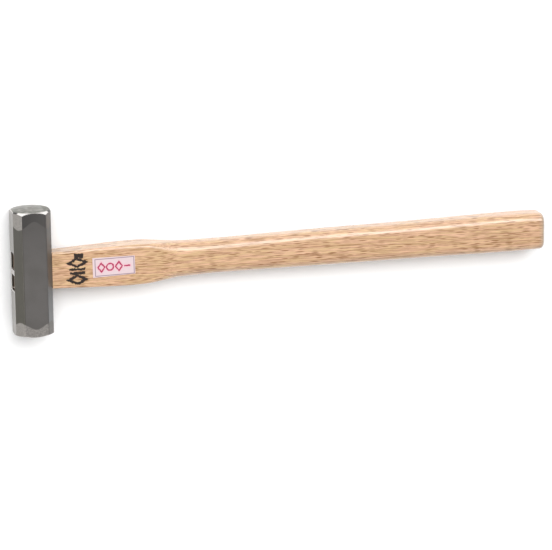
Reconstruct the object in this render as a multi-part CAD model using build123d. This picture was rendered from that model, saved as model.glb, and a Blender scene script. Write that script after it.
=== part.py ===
"""Small Japanese carpenter's hammer: an octagonal steel head on an oak handle.

The hammer lies on one cheek of its head. +Z is up, out of the other cheek; +X runs along the
handle from the head to the butt; +Y runs along the head towards its domed face. The origin is
on the surface that it lies on, under the middle of its bounding box.
"""

from build123d import *
import os

# ---- driving dimensions, millimetres ------------------------------------------------------
OVERALL_LENGTH = 322.5  # crown of the head to the butt of the handle

HEAD_LENGTH = 75.0  # domed face to flat face, along Y
HEAD_WIDTH = 22.3  # crown to underside, along X
HEAD_DEPTH = 22.3  # cheek to cheek, along Z
CHAMFER_X = 4.1  # the corner flats of the octagon, measured along X
CHAMFER_Z = 5.8  # and along Z
CORNER_SOFTENING = 1.2  # radius on the head's long edges
FACE_ROUNDING = 5.0  # turned radius that runs out from each face to the flats
TURNED_RADIUS = 14.4  # of the lathe cut that this radius ends on, outside the octagon
DOME_RADIUS = 50.0  # of the domed face

EYE_LENGTH = 21.2  # the eye along Y, on the handle's side
EYE_LENGTH_AT_CROWN = 22.4  # it flares towards the crown, so that the wedge locks the handle
EYE_WIDTH = 9.2  # along Z
EYE_WIDTH_AT_CROWN = 9.6
EYE_CORNER = 1.2
EYE_BREAK = 0.45  # broken edge round the eye in the crown

FIT_GAP = 0.02  # between the tenon and the wall of the eye
TENON_RECESS = 1.5  # end grain below the crown

WEDGE_LENGTH = 17.0
WEDGE_THICK = 3.2
WEDGE_TIP = 0.9
WEDGE_WIDTH = 9.1
WEDGE_RECESS = 0.15  # top of the wedge below the crown
WEDGE_PLAIN = 2.0  # smooth part above the first barb
BARB_COUNT = 4
BARB_PITCH = 3.4
BARB_HEIGHT = 0.25
BARB_STEP = 0.1  # length of a barb's steep side
BARB_RAMP = 2.0  # length of its long side
KERF_WIDTH = 0.8
KERF_BEYOND_WEDGE = 4.0

NECK_LENGTH = 57.0  # flat-sided part of the handle, from the head to the shoulder
NECK_THICK = 11.0  # along Z, at the head
SHOULDER_THICK = 15.9  # and where the neck ends
SHOULDER_LENGTH = 17.0  # scooped part between the neck and the grip
BUTT_ROUNDING = 2.4

LABEL_LENGTH = 24.9
LABEL_NEAR_WIDTH = 11.8  # the end towards the head
LABEL_FAR_WIDTH = 10.8  # the paper is cut a little out of square
LABEL_THICK = 0.12
LABEL_CENTRE = 36.0  # along X, from the underside of the head
LABEL_OFFSET = 0.35  # of its centre line towards the domed face
LABEL_TURN = 1.0  # degrees that it was stuck on askew
LABEL_GAP = 0.01  # glue line

# ---- places that follow from them ---------------------------------------------------------
CROWN_X = -OVERALL_LENGTH / 2
HEAD_X = CROWN_X + HEAD_WIDTH / 2
UNDERSIDE_X = CROWN_X + HEAD_WIDTH
BUTT_X = OVERALL_LENGTH / 2
AXIS_Z = HEAD_DEPTH / 2  # height of the centre lines of the head and the handle
NECK_RISE = (SHOULDER_THICK - NECK_THICK) / 2 / NECK_LENGTH  # slope of its upper and lower flats
GRIP_START = NECK_LENGTH + SHOULDER_LENGTH
HANDLE_LENGTH = BUTT_X - UNDERSIDE_X


def neck_thick(distance):
    return NECK_THICK + 2 * NECK_RISE * distance


# Sections of the handle: distance from the underside of the head, height along Y, thickness
# along Z, corner radius, and how far the middle is off the axis towards the domed face.
NECK = [
    (0.0, 21.6, neck_thick(0.0), 0.9, 0.0),
    (17.0, 22.4, neck_thick(17.0), 1.1, -0.1),
    (36.0, 23.8, neck_thick(36.0), 1.5, -0.1),
    (46.0, 24.1, neck_thick(46.0), 1.8, -0.1),
    (NECK_LENGTH, 23.7, SHOULDER_THICK, 2.2, 0.0),
]
SHOULDER = [
    (NECK_LENGTH, 23.7, SHOULDER_THICK, 2.2, 0.0),
    (62.0, 22.9, 15.7, 3.2, 0.0),
    (68.0, 22.1, 15.0, 4.6, 0.0),
    (GRIP_START, 21.3, 13.9, 5.8, 0.1),
]
GRIP = [
    (GRIP_START, 21.3, 13.9, 5.8, 0.1),
    (86.0, 20.3, 14.4, 5.8, 0.2),
    (124.0, 20.1, 14.9, 5.2, 0.4),
    (182.0, 21.0, 15.5, 5.0, 0.4),
    (242.0, 21.9, 16.4, 5.1, 0.4),
    (HANDLE_LENGTH, 21.8, 17.4, 5.2, 0.4),
]


def across_x(x):
    """Plane across the handle at x, with its own X along Y and its own Y along Z."""
    return Plane(origin=(x, 0, AXIS_Z), x_dir=(0, 1, 0), z_dir=(1, 0, 0))


def octagon_bar():
    """The bar that the head is cut from, with softened long edges."""
    half_x, half_z = HEAD_WIDTH / 2, HEAD_DEPTH / 2
    quarter = [(half_x, half_z - CHAMFER_Z), (half_x - CHAMFER_X, half_z)]
    half = quarter + [(-x, z) for x, z in reversed(quarter)]
    outline = half + [(-x, -z) for x, z in half]
    section = make_face(Polyline(*outline, close=True))
    section = fillet(section.vertices(), CORNER_SOFTENING)
    across = Plane(origin=(HEAD_X, 0, AXIS_Z), x_dir=(1, 0, 0), z_dir=(0, -1, 0))
    return extrude(across * section, amount=HEAD_LENGTH, both=True)


def turned_ends():
    """Solid of revolution about the head's axis that shapes both faces."""
    end = HEAD_LENGTH / 2
    dome_drop = DOME_RADIUS - (DOME_RADIUS**2 - TURNED_RADIUS**2) ** 0.5
    dome_edge = (TURNED_RADIUS, end - dome_drop)
    flat_edge = (TURNED_RADIUS, -end)
    dome = RadiusArc((0, end), dome_edge, DOME_RADIUS)
    rest = Polyline(dome_edge, flat_edge, (0, -end), (0, end))
    profile = make_face([dome, rest])
    corners = profile.vertices().group_by(Axis.X)[-1]
    profile = fillet(corners, FACE_ROUNDING)
    half_plane = Plane(origin=(HEAD_X, 0, AXIS_Z), x_dir=(1, 0, 0), z_dir=(0, 0, 1))
    return revolve(half_plane * profile, Axis((HEAD_X, 0, AXIS_Z), (0, 1, 0)), 360)


def eye_section(x, margin):
    """The flared eye's outline at x, moved outwards by the margin."""
    share = (UNDERSIDE_X - x) / HEAD_WIDTH
    length = EYE_LENGTH + (EYE_LENGTH_AT_CROWN - EYE_LENGTH) * share + 2 * margin
    width = EYE_WIDTH + (EYE_WIDTH_AT_CROWN - EYE_WIDTH) * share + 2 * margin
    return across_x(x) * RectangleRounded(length, width, EYE_CORNER + margin)


def hammer_head():
    overshoot = 1.0
    past_crown, past_underside = CROWN_X - overshoot, UNDERSIDE_X + overshoot
    eye = loft([eye_section(past_crown, 0), eye_section(past_underside, 0)], ruled=True)
    mouth = loft(
        [
            eye_section(past_crown, EYE_BREAK + overshoot),
            eye_section(CROWN_X + EYE_BREAK, 0),
        ],
        ruled=True,
    )
    return (octagon_bar() & turned_ends()) - eye - mouth


def wedge():
    """Steel wedge with barbs, driven across the tenon in the middle of the eye."""
    top_x = CROWN_X + WEDGE_RECESS

    def half_thick(distance):
        return (WEDGE_THICK - (WEDGE_THICK - WEDGE_TIP) * distance / WEDGE_LENGTH) / 2

    side = [(0.0, half_thick(0.0))]
    for barb in range(BARB_COUNT):
        start = WEDGE_PLAIN + barb * BARB_PITCH
        crest = start + BARB_STEP
        foot = crest + BARB_RAMP
        side += [(start, half_thick(start)), (crest, half_thick(crest) + BARB_HEIGHT)]
        side += [(foot, half_thick(foot))]
    side += [(WEDGE_LENGTH, half_thick(WEDGE_LENGTH))]
    one_side = [(top_x + distance, y) for distance, y in side]
    outline = one_side + [(x, -y) for x, y in reversed(one_side)]
    middle = Plane(origin=(0, 0, AXIS_Z), x_dir=(1, 0, 0), z_dir=(0, 0, 1))
    return extrude(middle * make_face(Polyline(*outline, close=True)), WEDGE_WIDTH / 2, both=True)


def kerf():
    """Saw cut in the tenon, a little deeper than the wedge reaches."""
    length = WEDGE_RECESS + WEDGE_LENGTH + KERF_BEYOND_WEDGE
    slot = Box(length, KERF_WIDTH, EYE_WIDTH_AT_CROWN)
    return Pos(CROWN_X + length / 2, 0, AXIS_Z) * slot


def handle_run(sections):
    """One smooth stretch of the handle through its sections."""
    outlines = [
        across_x(UNDERSIDE_X + distance) * (Pos(offset, 0) * RectangleRounded(height, thick, radius))
        for distance, height, thick, radius, offset in sections
    ]
    return loft(outlines)


def handle():
    body = handle_run(NECK) + handle_run(SHOULDER) + handle_run(GRIP)
    butt = body.faces().sort_by(Axis.X)[-1]
    body = fillet(butt.edges(), BUTT_ROUNDING)
    end_grain_x = CROWN_X + TENON_RECESS
    tenon = loft([eye_section(end_grain_x, -FIT_GAP), eye_section(UNDERSIDE_X, -FIT_GAP)], ruled=True)
    return body + tenon - kerf() - wedge()


def label():
    """Paper label on the upper flat of the neck, which rises towards the shoulder."""
    height = neck_thick(LABEL_CENTRE) / 2 + LABEL_GAP
    lies_on = Plane(
        origin=(UNDERSIDE_X + LABEL_CENTRE, LABEL_OFFSET, AXIS_Z + height),
        x_dir=(1, 0, NECK_RISE),
        z_dir=(-NECK_RISE, 0, 1),
    )
    half = LABEL_LENGTH / 2
    near, far = LABEL_NEAR_WIDTH / 2, LABEL_FAR_WIDTH / 2
    paper = Polyline((-half, near), (-half, -near), (half, -far), (half, far), close=True)
    return extrude(lies_on * (Rot(0, 0, LABEL_TURN) * make_face(paper)), LABEL_THICK)


PARTS = {
    "hammer_head": hammer_head,
    "handle": handle,
    "wedge": wedge,
    "label": label,
}

os.makedirs("parts", exist_ok=True)
for name, make in PARTS.items():
    export_step(make(), f"parts/{name}.step")
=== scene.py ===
import math

import bpy
from mathutils import Matrix, Vector


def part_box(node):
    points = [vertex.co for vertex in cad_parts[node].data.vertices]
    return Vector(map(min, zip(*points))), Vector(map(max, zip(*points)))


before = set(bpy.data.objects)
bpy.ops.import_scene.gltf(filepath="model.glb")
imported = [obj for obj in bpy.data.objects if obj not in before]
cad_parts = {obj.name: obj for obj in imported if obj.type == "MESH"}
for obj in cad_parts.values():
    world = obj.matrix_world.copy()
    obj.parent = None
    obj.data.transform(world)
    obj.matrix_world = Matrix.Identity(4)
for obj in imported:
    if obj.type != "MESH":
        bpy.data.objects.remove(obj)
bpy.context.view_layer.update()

# The hammer lies on one cheek of its head: +Z up, +X along the handle to its butt, +Y along the
# head to its domed face. All lengths are in metres, unless a comment says otherwise.
#
# A step is (from, to) or (from, to, at the start, at the end), as Paint.ramp takes it. Where "to"
# is the smaller of the two, the step falls as its value grows.

MM = 0.001
HEAD_LOW, HEAD_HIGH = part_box("hammer_head")
HEAD_MIDDLE = (HEAD_LOW + HEAD_HIGH) / 2
HEAD_HALF = (HEAD_HIGH - HEAD_LOW) / 2
UNDERSIDE_X = HEAD_HIGH.x
BUTT_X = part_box("handle")[1].x
LABEL_LOW, LABEL_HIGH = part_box("label")
LABEL_MIDDLE = (LABEL_LOW + LABEL_HIGH) / 2

# ---- camera: how the head is seen from it ----------------------------------------------------
VIEW_YAW = math.radians(15.60)
VIEW_PITCH = math.radians(15.0)
VIEW_ROLL = math.radians(-0.70)
VIEW_DISTANCE = 2.0
VIEW_RIGHT = 0.1410  # from the middle of the head to the middle of the picture
VIEW_UP = -0.0027
PICTURE_WIDTH = 552  # in pixels
PIXELS_PER_METRE = 1734.4
SENSOR_WIDTH = 36.0  # in millimetres, as Blender has it

# ---- studio ------------------------------------------------------------------------------------
FLOOR_SIZE = 6.0
FLOOR_COLOUR = (0.97, 0.97, 0.97)
FLOOR_ROUGHNESS = 0.9
SKY_LOW, SKY_HIGH = 0.20, 0.60  # brightness of the sky at the horizon and overhead
SKY_HIGH_FROM = 0.9  # height of a direction from which the sky is at its brightest
# name: direction to it, distance, width and height, watts
LAMPS = {
    "key": ((-0.12, 0.52, 0.84), 1.5, (1.8, 1.1), 21.0),
    "glint": ((0.50, 0.49, 0.75), 1.5, (0.6, 0.9), 4.0),
    "back": ((0.19, 0.95, 0.30), 1.3, (1.4, 0.5), 2.0),
    "left": ((-0.90, 0.00, 0.45), 1.3, (1.0, 0.6), 3.8),
    "fill": ((0.40, -0.80, 0.45), 1.6, (1.6, 1.0), 3.0),
}

# ---- steel: colours ----------------------------------------------------------------------------
SCALE_COLOUR = (0.220, 0.208, 0.200)  # dark skin left on the flats by hardening
SCALE_GREEN_AND_DARK_REFLECTION = (0.093, 0.089, 0.075)  # its clouds, and a painted dark reflection on the corner flats on the crown's side
SCALE_COOL_REFLECTION = (0.214, 0.218, 0.220)  # a painted cool reflection on the corner flats on the handle's side
SIDE_COLOUR = (0.300, 0.288, 0.272)  # flats round the eye
GROUND_COLOUR = (0.470, 0.440, 0.415)  # where the ends were ground bright
GROUND_DULL = (0.300, 0.282, 0.262)  # the same on the corner flats
PAINTED_SHADE_COLOUR = (0.110, 0.105, 0.102)  # painted shade: dark reflections in the domed end's zone on the two cheeks, the flats darkening towards that end, and the ground zones beside the neck
DOME_COLOUR = (0.155, 0.155, 0.135)
POLISHED_GLINT_COLOUR = (0.740, 0.715, 0.690)  # painted bright reflections in the rim of the domed face, and a painted glint on the edge of the eye
RIM_SHADE = (0.055, 0.051, 0.048)  # dark reflections in that rim
BRIGHT_COLOUR = (0.560, 0.535, 0.520)  # the wedge

# ---- steel: where they are ---------------------------------------------------------------------
# The colours of the corner flats, of the rim and of the eye's edge stand in for reflections in the
# photograph. They are painted on the head, so they don't move with the lamps.

# depth of the ground zones on average round the head, and their swing: less at the middle of the
# cheeks and the sides, more at the middle of the corner flats
DOMED_ZONE = (8.8 * MM, 2.5 * MM)
FLAT_ZONE = (6.9 * MM, 2.0 * MM)
ZONE_SWINGS = 4.0  # times round the head
ZONE_BLUR = 0.35 * MM
# a sector is where the place across is less than this many times the height above or below the
# axis
CHEEK_SECTOR = 0.63
CHEEK_BLUR = 0.3 * MM
RIM_SECTOR = 1.15
RIM_BLUR = 1.0 * MM
# noises in the steel: cell size and detail
CLOUD_NOISE = ((0.012, 0.012, 0.012), 3.0)
SPECKLE_NOISE = ((0.0009, 0.0009, 0.0009), 3.0)
BLOTCH_NOISE = ((0.0030, 0.0030, 0.0030), 3.0)
WEDGE_NOISE = ((0.0008, 0.0008, 0.0008), 3.0)
# steps over those noises
CLOUDS = (0.35, 0.7, 0.0, 0.2)
GROUND_SPECKLE = (0.35, 0.65, 0.0, 0.5)
FACE_BLOTCH = (0.35, 0.65, 0.0, 0.5)
DOME_BLOTCH = (0.4, 0.7, 0.0, 0.4)
WEDGE_SPECKLE = (0.3, 0.7, 0.0, 0.4)
# steps over the place across the head; + is towards the handle
CROWN_CORNERS = (-6.1 * MM, -7.2 * MM, 0.0, 0.9)
NECK_CORNERS = (6.5 * MM, 7.5 * MM)
# painted dark reflection on the cheeks at the domed end: full on the crown's side, less towards
# the handle
CHEEK_SHADE_ACROSS = (-6.0 * MM, 8.0 * MM, 1.0, 0.45)
# steps over the normal's part across the head
ON_SIDE = (0.93, 0.97)
EYE_EDGE_FACING = (0.93, 0.90, 0.0, 0.7)
# and over its part along the head
ON_RIM = (0.20, 0.40)
ON_DOME = (0.93, 0.965)
ON_FLAT_FACE = (-0.90, -0.96)
RIM_FADE = (2.0 * MM, -1.0 * MM)  # height over which the rim's reflections stop
DOME_END_SHADE = (0.0, HEAD_HALF.y, 0.0, 0.45)  # painted shade on the flats, from the middle to the domed end
NECK_SHADE = 0.5  # painted shade on the ground zones beside the neck
EYE_EDGE_ACROSS = -10.65 * MM  # the broken edge of the eye, where a glint is painted: beyond this, towards the crown
EYE_EDGE_UP = 5.3 * MM  # and nearer than this to the middle
EYE_EDGE_BLUR = 0.05 * MM
EDGE_RADIUS = 0.18 * MM  # to which the head's arrises look worn
EDGE_SAMPLES = 8
STEEL_RELIEF = 0.01 * MM
STEEL_ROUGHNESS = (0.32, 0.46)  # of the head, and of its flats beside the neck
RIM_SMOOTHNESS = 0.5  # share of the roughness that is left on the polished rim
WEDGE_ROUGHNESS = 0.4

# ---- oak ---------------------------------------------------------------------------------------
OAK_PINK = (0.680, 0.402, 0.246)
OAK_YELLOW = (0.625, 0.408, 0.203)
OAK_MIDDLE = (0.515, 0.290, 0.148)
OAK_DARK = (0.230, 0.092, 0.014)
OAK_BUTT = (0.430, 0.370, 0.300)  # end grain
OAK_CUT = (0.300, 0.190, 0.110)  # across the whole of the butt
OAK_END_STAIN_AND_SHADE = (0.120, 0.060, 0.030)  # and in the eye, where it is stained and darkened further with painted shade
GRAIN_TURN = math.radians(1.2)
# noises in the wood: cell size along, across and through the handle; detail; turn; roughness
TINT_NOISE = ((0.016, 0.0014, 0.0018), 2.0, GRAIN_TURN)
BAND_NOISE = ((0.15, 0.0032, 0.005), 3.0, GRAIN_TURN)
FIBRE_NOISE = ((0.016, 0.00030, 0.00030), 3.0, GRAIN_TURN, 0.6)
STREAK_NOISE = ((0.024, 0.00055, 0.0008), 2.0, GRAIN_TURN * 1.3)
END_NOISE = ((0.0005, 0.0005, 0.0005), 2.0)
# steps over those noises
TINTS = (0.38, 0.62)
BANDS = (0.36, 0.62, 0.45, 0.0)
FIBRES = (0.48, 0.68, 0.0, 0.80)
STREAKS = (0.52, 0.62, 0.0, 0.50)
END_DOTS = (0.5, 0.65, 0.0, 0.5)
CUT_DOTS = (0.45, 0.65, 0.0, 0.5)
# dark flecks: strength, then what flecks() takes
FLECKS = (
    (1.15, (0.0070, 0.0009, 0.0022), 0.12, 0.44, GRAIN_TURN * 1.6),  # pores
    (1.30, (0.0100, 0.0011, 0.0030), 0.12, 0.38, GRAIN_TURN),  # rays
    (2.4, (0.026, 0.0060, 0.0050), 0.08, 0.20, GRAIN_TURN, 0.70),  # lenses
)
# steps towards end grain, over the place along the handle and over the normal's part along it
NEAR_BUTT = (BUTT_X - 4.5 * MM, BUTT_X, 0.0, 0.7)
BUTT_FACING = (0.15, 0.75)
CUT_FACING = (0.80, 0.98)
IN_EYE = (UNDERSIDE_X - 1 * MM, UNDERSIDE_X - 2 * MM)
OAK_ROUGHNESS = 0.40
OAK_RELIEF = 0.04 * MM
VARNISH_ROUGHNESS = 0.25
VARNISH_IOR = 1.8

# ---- ink on the neck ---------------------------------------------------------------------------
INK_COLOUR = (0.013, 0.005, 0.002)
# marks printed on the neck: shape, distance from the head, place across, half-sizes; all in mm
INK_MARKS = (
    ("lozenge", 14.6, -6.2, 5.0, 2.5),
    ("bar", 14.6, -2.3, 4.6, 0.75),
    ("bar", 14.6, 0.0, 4.6, 0.75),
    ("lozenge", 14.6, 3.9, 5.0, 2.5),
    ("bar", 15.6, 7.9, 2.6, 1.3),
)
INK_STROKE = 0.80 * MM  # half the width of a line
INK_NOISE = ((0.0012, 0.0012, 0.0012), 2.0)
INK_BLEED = (0.3, 0.7, -0.3 * MM, 0.3 * MM)
INK_ON_TOP = (HEAD_MIDDLE.z, HEAD_MIDDLE.z + 1 * MM)  # only on the handle's upper half
PRINT_EDGE = (0.12 * MM, -0.12 * MM)  # of the ink, and of the label's printing

# ---- label -------------------------------------------------------------------------------------
PAPER_COLOURS = (0.60, 0.475, 0.495), (0.65, 0.52, 0.535)
PAPER_NOISE = ((0.0012, 0.0012, 0.0012), 4.0)
PAPER_RELIEF = 0.01 * MM
PAPER_ROUGHNESS = 0.5
FRAME_COLOUR = (0.16, 0.105, 0.15)
FRAME_HALF = (11.4 * MM, 4.95 * MM)
FRAME_MIDDLE = (0.4 * MM, 0.1 * MM)  # from the middle of the label
FRAME_LINE = (0.32 * MM, 0.12 * MM, 0.0, 0.85)
LABEL_TURN = math.radians(1.0)
PRINT_COLOUR = (0.36, 0.018, 0.080)
HALO_COLOUR = (0.75, 0.36, 0.44)
# marks along the label: shape, place along it, half-sizes; all in mm
PRINT_MARKS = (
    ("lozenge", -7.8, 2.0, 2.6),
    ("ring", -2.7, 2.0, 2.0),
    ("lozenge", 2.5, 2.0, 2.6),
    ("bar", 7.4, 1.9, 0.45),
)
PRINT_STROKE = 0.42 * MM  # half the width of a line
PRINT_NOISE = ((0.0010, 0.0010, 0.0010), 2.0)
PRINT_BLEED = (0.3, 0.7, -0.15 * MM, 0.15 * MM)
PRINT_HALO = (0.9 * MM, 0.0, 0.0, 0.6)

# a Mix node's sockets for colours, and the inputs of a Map Range node after its value
MIX_SHARE, MIX_FIRST, MIX_SECOND, MIX_RESULT = 0, 6, 7, 2
RANGE_INPUTS = ("From Min", "From Max", "To Min", "To Max")


class Paint:
    """A material and short names for making and joining its nodes."""

    def __init__(self, name):
        self.material = bpy.data.materials.new(name)
        self.material.use_nodes = True
        self.tree = self.material.node_tree
        self.shader = self.tree.nodes["Principled BSDF"]
        self.place = self.make("ShaderNodeTexCoord").outputs["Object"]
        self.x, self.y, self.z = self.parts(self.place)
        self.facing = self.make("ShaderNodeTexCoord").outputs["Normal"]

    def feed(self, socket, value):
        """Links the socket to another one, or sets it to a colour or a plain value."""
        if isinstance(value, bpy.types.NodeSocket):
            self.tree.links.new(value, socket)
        elif socket.type == "RGBA":
            socket.default_value = (*value, 1.0)
        else:
            socket.default_value = value

    def make(self, kind, inputs=None, **settings):
        node = self.tree.nodes.new(kind)
        for name, value in settings.items():
            setattr(node, name, value)
        for socket, value in (inputs or {}).items():
            self.feed(node.inputs[socket], value)
        return node

    def parts(self, vector):
        return self.make("ShaderNodeSeparateXYZ", {"Vector": vector}).outputs

    def calc(self, operation, *values):
        node = self.make("ShaderNodeMath", operation=operation)
        for socket, value in zip(node.inputs, values):
            self.feed(socket, value)
        return node.outputs[0]

    def ramp(self, value, low, high, to_low=0.0, to_high=1.0):
        """value's way from low to high, as a smooth step between two numbers."""
        inputs = {"Value": value, **dict(zip(RANGE_INPUTS, (low, high, to_low, to_high)))}
        node = self.make("ShaderNodeMapRange", inputs, interpolation_type="SMOOTHSTEP")
        return node.outputs[0]

    def mix(self, share, first, second):
        inputs = {MIX_SHARE: share, MIX_FIRST: first, MIX_SECOND: second}
        return self.make("ShaderNodeMix", inputs, data_type="RGBA").outputs[MIX_RESULT]

    def turned(self, angle, middle=(0.0, 0.0, 0.0)):
        """The place turned about the vertical through the middle."""
        inputs = {"Vector": self.place, "Center": middle, "Angle": angle}
        return self.make("ShaderNodeVectorRotate", inputs).outputs[0]

    def stretched(self, size, turn=0.0):
        """The turned place measured in cells of this size."""
        inputs = {0: self.turned(turn), 1: [1 / length for length in size]}
        return self.make("ShaderNodeVectorMath", inputs, operation="MULTIPLY").outputs[0]

    def noise(self, size, detail=2.0, turn=0.0, rough=0.5):
        where = self.stretched(size, turn)
        inputs = {"Vector": where, "Scale": 1.0, "Detail": detail, "Roughness": rough}
        return self.make("ShaderNodeTexNoise", inputs).outputs["Fac"]

    def bump(self, height, depth, under=None):
        inputs = {"Height": height, "Distance": depth, "Strength": 1.0}
        if under is not None:
            inputs["Normal"] = under
        return self.make("ShaderNodeBump", inputs).outputs[0]

    def use(self, **inputs):
        """Sets the shader's sockets, which are named with underscores here."""
        for name, value in inputs.items():
            self.feed(self.shader.inputs[name.replace("_", " ")], value)
        return self.material


# ---- printed marks -----------------------------------------------------------------------------
def box_distance(paint, u, v, half_u, half_v):
    """How far (u, v) is outside a box round the origin; negative inside."""
    beyond_u = paint.calc("SUBTRACT", paint.calc("ABSOLUTE", u), half_u)
    beyond_v = paint.calc("SUBTRACT", paint.calc("ABSOLUTE", v), half_v)
    return paint.calc("MAXIMUM", beyond_u, beyond_v)


def lozenge_distance(paint, u, v, half_u, half_v):
    """The same for a lozenge."""
    share = paint.calc(
        "ADD",
        paint.calc("MULTIPLY", paint.calc("ABSOLUTE", u), 1 / half_u),
        paint.calc("MULTIPLY", paint.calc("ABSOLUTE", v), 1 / half_v),
    )
    steep = half_u * half_v / math.hypot(half_u, half_v)
    return paint.calc("MULTIPLY", paint.calc("SUBTRACT", share, 1.0), steep)


def ring_distance(paint, u, v, radius, _):
    """The same for a circle, which takes its radius from the first half-size."""
    squares = paint.calc("ADD", paint.calc("MULTIPLY", u, u), paint.calc("MULTIPLY", v, v))
    return paint.calc("SUBTRACT", paint.calc("SQRT", squares), radius)


SHAPES = {"bar": box_distance, "lozenge": lozenge_distance, "ring": ring_distance}


def marks_distance(paint, marks, stroke, noise, bleed):
    """How far a point is outside the nearest mark; bars are solid, the others outlines."""
    nearest = 1.0  # farther than any mark
    for shape, u, v, half_u, half_v in marks:
        distance = SHAPES[shape](paint, u, v, half_u * MM, half_v * MM)
        if shape != "bar":
            distance = paint.calc("SUBTRACT", paint.calc("ABSOLUTE", distance), stroke)
        nearest = paint.calc("MINIMUM", nearest, distance)
    return paint.calc("ADD", nearest, paint.ramp(paint.noise(*noise), *bleed))


# ---- oak ---------------------------------------------------------------------------------------
def flecks(paint, size, core, edge, turn, weakest=0.0):
    """Lens-shaped marks in cells of this size, each of its own strength."""
    inputs = {"Vector": paint.stretched(size, turn), "Scale": 1.0}
    cells = paint.make("ShaderNodeTexVoronoi", inputs, feature="F1")
    colour = {"Color": cells.outputs["Color"]}
    strength = paint.make("ShaderNodeSeparateColor", colour).outputs[0]
    strength = paint.calc("MAXIMUM", paint.calc("SUBTRACT", strength, weakest), 0.0)
    return paint.calc("MULTIPLY", paint.ramp(cells.outputs["Distance"], edge, core), strength)


def long_grain(paint, fibres):
    """Colour of the wood along the handle."""
    tints = paint.ramp(paint.noise(*TINT_NOISE), *TINTS)
    colour = paint.mix(tints, OAK_PINK, OAK_YELLOW)
    bands = paint.ramp(paint.noise(*BAND_NOISE), *BANDS)
    colour = paint.mix(bands, colour, OAK_MIDDLE)
    colour = paint.mix(paint.ramp(fibres, *FIBRES), colour, OAK_DARK)
    streaks = paint.ramp(paint.noise(*STREAK_NOISE), *STREAKS)
    colour = paint.mix(streaks, colour, OAK_DARK)
    for strength, *shape in FLECKS:
        dark = paint.calc("MULTIPLY", flecks(paint, *shape), strength)
        colour = paint.mix(dark, colour, OAK_DARK)
    return colour


def neck_ink(paint):
    """1 where the neck is printed on."""
    from_head = paint.calc("SUBTRACT", paint.x, UNDERSIDE_X)
    marks = []
    for shape, along, across, half_u, half_v in INK_MARKS:
        u = paint.calc("SUBTRACT", from_head, along * MM)
        v = paint.calc("SUBTRACT", paint.y, across * MM)
        marks.append((shape, u, v, half_u, half_v))
    edge = marks_distance(paint, marks, INK_STROKE, INK_NOISE, INK_BLEED)
    on_top = paint.ramp(paint.z, *INK_ON_TOP)
    return paint.calc("MULTIPLY", paint.ramp(edge, *PRINT_EDGE), on_top)


def oak():
    paint = Paint("oak_varnished")
    fibres = paint.noise(*FIBRE_NOISE)
    colour = long_grain(paint, fibres)
    facing = paint.parts(paint.facing)[0]
    near_butt = paint.ramp(paint.x, *NEAR_BUTT)
    at_butt = paint.calc("MAXIMUM", paint.ramp(facing, *BUTT_FACING), near_butt)
    dots = paint.noise(*END_NOISE)
    end_grain = paint.mix(paint.ramp(dots, *END_DOTS), OAK_BUTT, OAK_DARK)
    colour = paint.mix(at_butt, colour, end_grain)
    cut = paint.mix(paint.ramp(dots, *CUT_DOTS), OAK_CUT, OAK_DARK)
    colour = paint.mix(paint.ramp(facing, *CUT_FACING), colour, cut)
    # the tenon in the eye: stained end grain, darkened further with painted shade
    colour = paint.mix(paint.ramp(paint.x, *IN_EYE), colour, OAK_END_STAIN_AND_SHADE)
    ink = neck_ink(paint)
    return paint.use(
        Base_Color=paint.mix(ink, colour, INK_COLOUR),
        Roughness=OAK_ROUGHNESS,
        Normal=paint.bump(paint.calc("MULTIPLY", fibres, -1.0), OAK_RELIEF),
        Coat_Weight=paint.calc("SUBTRACT", 1.0, ink),
        Coat_Roughness=VARNISH_ROUGHNESS,
        Coat_IOR=VARNISH_IOR,
    )


# ---- steel -------------------------------------------------------------------------------------
class Head:
    """Where a point is on the head, measured from its middle."""

    def __init__(self, paint):
        self.paint = paint
        self.along = paint.calc("SUBTRACT", paint.y, HEAD_MIDDLE.y)
        self.across = paint.calc("SUBTRACT", paint.x, HEAD_MIDDLE.x)
        self.up = paint.calc("SUBTRACT", paint.z, HEAD_MIDDLE.z)

    def zone(self, depth, swing, side):
        """1 in the ground zone at one end of the head, 0 on the flats beyond it."""
        calc = self.paint.calc
        from_end = calc("SUBTRACT", HEAD_HALF.y, calc("MULTIPLY", self.along, side))
        round_head = calc("MULTIPLY", calc("ARCTAN2", self.across, self.up), ZONE_SWINGS)
        edge = calc("ADD", calc("MULTIPLY", calc("COSINE", round_head), -swing), depth)
        return self.paint.ramp(calc("SUBTRACT", edge, from_end), -ZONE_BLUR, ZONE_BLUR)

    def sector(self, slope, blur):
        """1 where the point is above or below the axis rather than beside it."""
        calc = self.paint.calc
        reach = calc("MULTIPLY", calc("ABSOLUTE", self.up), slope)
        inside = calc("SUBTRACT", reach, calc("ABSOLUTE", self.across))
        return self.paint.ramp(inside, -blur, blur)

    def eye_edge(self, beside):
        """Above 0 on the broken edge round the eye in the crown, where a glint is painted."""
        paint = self.paint
        across = paint.ramp(self.across, EYE_EDGE_ACROSS + EYE_EDGE_BLUR, EYE_EDGE_ACROSS)
        height = paint.calc("ABSOLUTE", self.up)
        within = paint.ramp(height, EYE_EDGE_UP, EYE_EDGE_UP - EYE_EDGE_BLUR)
        slanted = paint.ramp(beside, *EYE_EDGE_FACING)
        return paint.calc("MULTIPLY", paint.calc("MULTIPLY", across, within), slanted)


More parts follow.
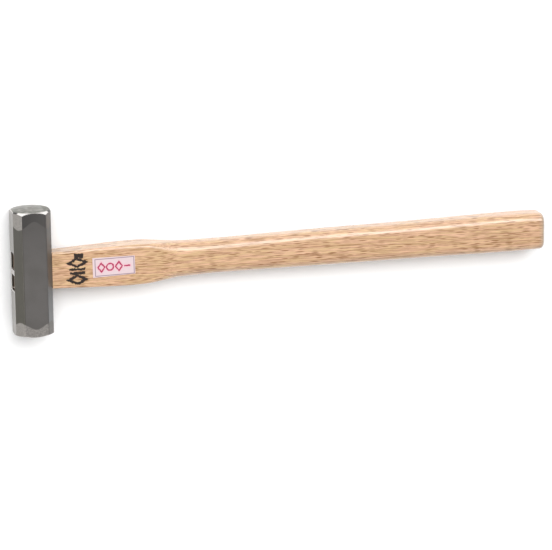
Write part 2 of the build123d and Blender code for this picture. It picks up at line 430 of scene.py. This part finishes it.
def head_steel():
    paint = Paint("steel_hardened")
    head = Head(paint)
    beside, facing, _ = paint.parts(paint.facing)
    beside = paint.calc("ABSOLUTE", beside)
    speckle = paint.noise(*SPECKLE_NOISE)
    blotch = paint.noise(*BLOTCH_NOISE)
    near_neck = paint.ramp(head.across, *NECK_CORNERS)
    on_cheek = head.sector(CHEEK_SECTOR, CHEEK_BLUR)
    on_rim = paint.ramp(facing, *ON_RIM)
    on_dome = paint.ramp(facing, *ON_DOME)

    # the flats, with their dark skin, painted reflections on the corner flats, and painted shade
    # towards the domed end
    clouds = paint.ramp(paint.noise(*CLOUD_NOISE), *CLOUDS)
    flat = paint.mix(clouds, SCALE_COLOUR, SCALE_GREEN_AND_DARK_REFLECTION)
    # a painted dark reflection on the corner flats on the crown's side
    flat = paint.mix(paint.ramp(head.across, *CROWN_CORNERS), flat, SCALE_GREEN_AND_DARK_REFLECTION)
    # a painted cool reflection on the corner flats beside the neck
    flat = paint.mix(near_neck, flat, SCALE_COOL_REFLECTION)
    flat = paint.mix(paint.ramp(head.along, *DOME_END_SHADE), flat, PAINTED_SHADE_COLOUR)
    flat = paint.mix(paint.ramp(beside, *ON_SIDE), flat, SIDE_COLOUR)

    # the ground zones: bright at the flat face's end, with painted shade beside the neck; painted
    # dark reflections on the cheeks at the domed one's
    ground = paint.mix(on_cheek, GROUND_DULL, GROUND_COLOUR)
    ground = paint.mix(paint.ramp(speckle, *GROUND_SPECKLE), ground, SCALE_COLOUR)
    # painted shade on the ground zones beside the neck
    ground = paint.mix(paint.calc("MULTIPLY", near_neck, NECK_SHADE), ground, PAINTED_SHADE_COLOUR)
    # painted dark reflections on the cheeks in the domed end's zone
    dark_cheeks = paint.calc("MULTIPLY", on_cheek, paint.ramp(head.across, *CHEEK_SHADE_ACROSS))
    shaded_domed_end = paint.mix(dark_cheeks, paint.mix(on_cheek, ground, flat), PAINTED_SHADE_COLOUR)
    colour = paint.mix(head.zone(*FLAT_ZONE, -1), flat, ground)
    colour = paint.mix(head.zone(*DOMED_ZONE, 1), colour, shaded_domed_end)

    # the two faces, and the domed one's rim with painted reflections: bright above and below the
    # axis, dark beside it, plain on its lower half
    rim = paint.mix(head.sector(RIM_SECTOR, RIM_BLUR), RIM_SHADE, POLISHED_GLINT_COLOUR)
    rim = paint.mix(paint.ramp(head.up, *RIM_FADE), rim, GROUND_DULL)
    colour = paint.mix(on_rim, colour, rim)
    face = paint.mix(paint.ramp(blotch, *FACE_BLOTCH), GROUND_COLOUR, GROUND_DULL)
    colour = paint.mix(paint.ramp(facing, *ON_FLAT_FACE), colour, face)
    dome = paint.mix(paint.ramp(blotch, *DOME_BLOTCH), DOME_COLOUR, GROUND_COLOUR)
    colour = paint.mix(on_dome, colour, dome)
    # a painted glint on the broken edge of the eye
    colour = paint.mix(head.eye_edge(beside), colour, POLISHED_GLINT_COLOUR)

    worn = {"Radius": EDGE_RADIUS}
    rounded = paint.make("ShaderNodeBevel", worn, samples=EDGE_SAMPLES).outputs[0]
    rough = paint.ramp(near_neck, 0.0, 1.0, *STEEL_ROUGHNESS)
    only_rim = paint.calc("MULTIPLY", on_rim, paint.calc("SUBTRACT", 1.0, on_dome))
    smooth = paint.ramp(only_rim, 0.0, 1.0, 1.0, RIM_SMOOTHNESS)
    return paint.use(
        Base_Color=colour,
        Metallic=1.0,
        Roughness=paint.calc("MULTIPLY", rough, smooth),
        Normal=paint.bump(speckle, STEEL_RELIEF, rounded),
    )


def wedge_steel():
    paint = Paint("steel_bright")
    speckle = paint.ramp(paint.noise(*WEDGE_NOISE), *WEDGE_SPECKLE)
    colour = paint.mix(speckle, BRIGHT_COLOUR, GROUND_COLOUR)
    return paint.use(Base_Color=colour, Metallic=1.0, Roughness=WEDGE_ROUGHNESS)


# ---- label -------------------------------------------------------------------------------------
def label_paper():
    paint = Paint("label_paper")
    fibres = paint.noise(*PAPER_NOISE)
    colour = paint.mix(fibres, *PAPER_COLOURS)
    middle = (LABEL_MIDDLE.x + FRAME_MIDDLE[0], LABEL_MIDDLE.y + FRAME_MIDDLE[1], 0.0)
    x, y, _ = paint.parts(paint.turned(-LABEL_TURN, middle))
    u = paint.calc("SUBTRACT", x, middle[0])
    v = paint.calc("SUBTRACT", y, middle[1])
    frame_edge = paint.calc("ABSOLUTE", box_distance(paint, u, v, *FRAME_HALF))
    colour = paint.mix(paint.ramp(frame_edge, *FRAME_LINE), colour, FRAME_COLOUR)
    marks = [
        (shape, paint.calc("SUBTRACT", u, along * MM), v, half_u, half_v)
        for shape, along, half_u, half_v in PRINT_MARKS
    ]
    edge = marks_distance(paint, marks, PRINT_STROKE, PRINT_NOISE, PRINT_BLEED)
    colour = paint.mix(paint.ramp(edge, *PRINT_HALO), colour, HALO_COLOUR)
    colour = paint.mix(paint.ramp(edge, *PRINT_EDGE), colour, PRINT_COLOUR)
    relief = paint.bump(fibres, PAPER_RELIEF)
    return paint.use(Base_Color=colour, Roughness=PAPER_ROUGHNESS, Normal=relief)


FINISHES = {
    "hammer_head": head_steel,
    "handle": oak,
    "wedge": wedge_steel,
    "label": label_paper,
}


def dress():
    for name, finish in FINISHES.items():
        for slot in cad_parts[name].material_slots:
            slot.material = finish()


# ---- camera, floor and light -------------------------------------------------------------------
def link(name, data):
    made = bpy.data.objects.new(name, data)
    bpy.context.scene.collection.objects.link(made)
    return made


def make_camera():
    """Camera that sees the head, with its crown to the left, as the photograph does."""
    towards = Vector((-math.tan(VIEW_YAW), math.tan(VIEW_PITCH), 1)).normalized()
    up = (Vector((0, 1, 0)) - towards * towards.y).normalized()
    right = up.cross(towards)
    level = Matrix((right, up, towards)).transposed()
    turned = level @ Matrix.Rotation(VIEW_ROLL, 3, "Z")
    aim = Vector((VIEW_RIGHT, VIEW_UP, VIEW_DISTANCE))
    lens = bpy.data.cameras.new("camera")
    lens.sensor_width = SENSOR_WIDTH
    lens.lens = SENSOR_WIDTH * PIXELS_PER_METRE * VIEW_DISTANCE / PICTURE_WIDTH
    camera = link("camera", lens)
    camera.matrix_world = Matrix.Translation(HEAD_MIDDLE + turned @ aim) @ turned.to_4x4()
    bpy.context.scene.camera = camera


def make_floor():
    half = FLOOR_SIZE / 2
    corners = [(-half, -half, 0), (half, -half, 0), (half, half, 0), (-half, half, 0)]
    mesh = bpy.data.meshes.new("floor")
    mesh.from_pydata(corners, [], [(0, 1, 2, 3)])
    floor = link("floor", mesh)
    paint = Paint("floor")
    mesh.materials.append(
        paint.use(Base_Color=FLOOR_COLOUR, Roughness=FLOOR_ROUGHNESS, Specular_IOR_Level=0.0)
    )


def make_sky():
    """White sky that brightens from the horizon upwards."""
    world = bpy.data.worlds.new("studio")
    world.use_nodes = True
    nodes, links = world.node_tree.nodes, world.node_tree.links
    background = nodes["Background"]
    direction = nodes.new("ShaderNodeTexCoord").outputs["Generated"]
    apart = nodes.new("ShaderNodeSeparateXYZ")
    height = nodes.new("ShaderNodeMapRange")
    for name, value in zip(RANGE_INPUTS, (0.0, SKY_HIGH_FROM, SKY_LOW, SKY_HIGH)):
        height.inputs[name].default_value = value
    links.new(direction, apart.inputs[0])
    links.new(apart.outputs[2], height.inputs[0])
    links.new(height.outputs[0], background.inputs["Strength"])
    background.inputs["Color"].default_value = (1, 1, 1, 1)
    bpy.context.scene.world = world


def make_lamps():
    for name, (direction, distance, size, watts) in LAMPS.items():
        lamp = bpy.data.lights.new(name, "AREA")
        lamp.shape = "RECTANGLE"
        lamp.size, lamp.size_y = size
        lamp.energy = watts
        towards = Vector(direction).normalized()
        facing = towards.to_track_quat("Z", "Y").to_matrix().to_4x4()
        link(name, lamp).matrix_world = Matrix.Translation(towards * distance) @ facing


make_camera()
make_floor()
make_sky()
make_lamps()
dress()
bpy.context.scene.view_settings.view_transform = "Standard"
